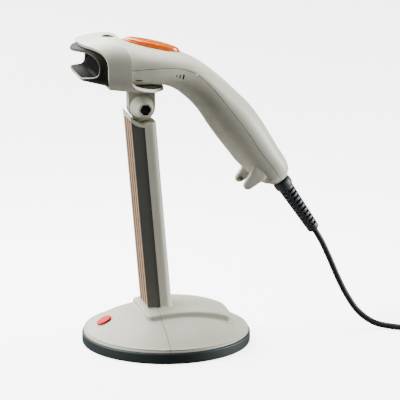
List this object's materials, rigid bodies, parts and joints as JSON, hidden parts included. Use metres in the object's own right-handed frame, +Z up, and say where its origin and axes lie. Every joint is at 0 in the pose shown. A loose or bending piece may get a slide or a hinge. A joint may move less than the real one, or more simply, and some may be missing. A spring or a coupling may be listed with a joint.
{
  "type": "handheld barcode scanner",
  "caption": "Corded hand scanner with a curved handle and an orange trigger lens, resting in the tilting cradle of a weighted presentation stand.",
  "frame": {"origin": "centre of the round base on the table surface", "axes": "+Z up, the scanner's nose points to -Y and its tail and cord to +Y"},
  "size_m": [0.13, 0.3843, 0.242],
  "materials": {
    "pale_plastic": "fine satin texture",
    "insert_plastic": "satin, ribbed",
    "ring_rubber": "matt",
    "nose_plastic": "fine matt texture",
    "window_dark": "polished dark red-black",
    "lens_orange": "translucent, polished",
    "badge_red": "gloss",
    "steel": "zinc plated",
    "black_oxide": "black finish",
    "plate": "powder coated",
    "iron": "as cast",
    "washer": "fibre",
    "board_green": "solder mask",
    "part_black": "moulded",
    "part_white": "moulded",
    "brass": "turned",
    "copper_coil": "enamelled wire",
    "mirror": "coated",
    "clear_light": "clear resin",
    "boot_rubber": "moulded",
    "cord_pvc": "smooth sheath",
    "tie_fabric": "hook and loop",
    "plug_steel": "nickel plated"
  },
  "bodies": {
    "stand": {"foot_ring": "ring_rubber", "bottom_plate": "plate", "base_screw_1": "steel", "base_screw_2": "steel", "base_screw_3": "steel", "ballast_weight": "iron", "base_front_shell": "pale_plastic", "stand_rear_shell": "pale_plastic", "column_insert": "insert_plastic", "base_badge": "badge_red", "friction_washer_near": "washer", "friction_washer_far": "washer", "cord_run": "cord_pvc", "cord_coil": "cord_pvc", "cord_tie": "tie_fabric", "cord_tail": "cord_pvc", "plug_grip": "boot_rubber", "plug_shell": "plug_steel"},
    "cradle": {"scanner_cradle": "pale_plastic", "hinge_bolt": "steel", "hinge_nut": "black_oxide"},
    "scanner": {"upper_shell": "pale_plastic", "lower_shell": "pale_plastic", "nose_bezel": "nose_plastic", "scan_window": "window_dark", "optical_chassis": "part_black", "laser_module": "brass", "scan_motor": "copper_coil", "scan_mirror": "mirror", "collecting_mirror": "mirror", "photo_sensor": "part_black", "switch_board": "board_green", "trigger_switch": "part_black", "status_light_1": "clear_light", "status_light_2": "clear_light", "sounder": "part_black", "main_board": "board_green", "cable_socket": "part_white", "processor": "part_black", "strain_relief": "boot_rubber"},
    "trigger": {"trigger_lens": "lens_orange"}
  },
  "joints": [
    {"name": "cradle_tilt", "type": "hinge", "parent": "stand", "child": "cradle", "pos_m": [0, -0.019, 0.1856], "axis": [1, 0, 0], "range_deg": [-15, 30], "deforming": ["cord_run"]},
    {"name": "scanner_withdraw", "type": "slide", "parent": "cradle", "child": "scanner", "axis": [0, 1, 0], "range_m": [0, 0.05], "deforming": ["cord_run"]},
    {"name": "trigger_press", "type": "slide", "parent": "scanner", "child": "trigger", "axis": [0, -0.2425, -0.9701], "range_m": [0, 0.0008], "stiffness_N_per_m": 900}
  ]
}
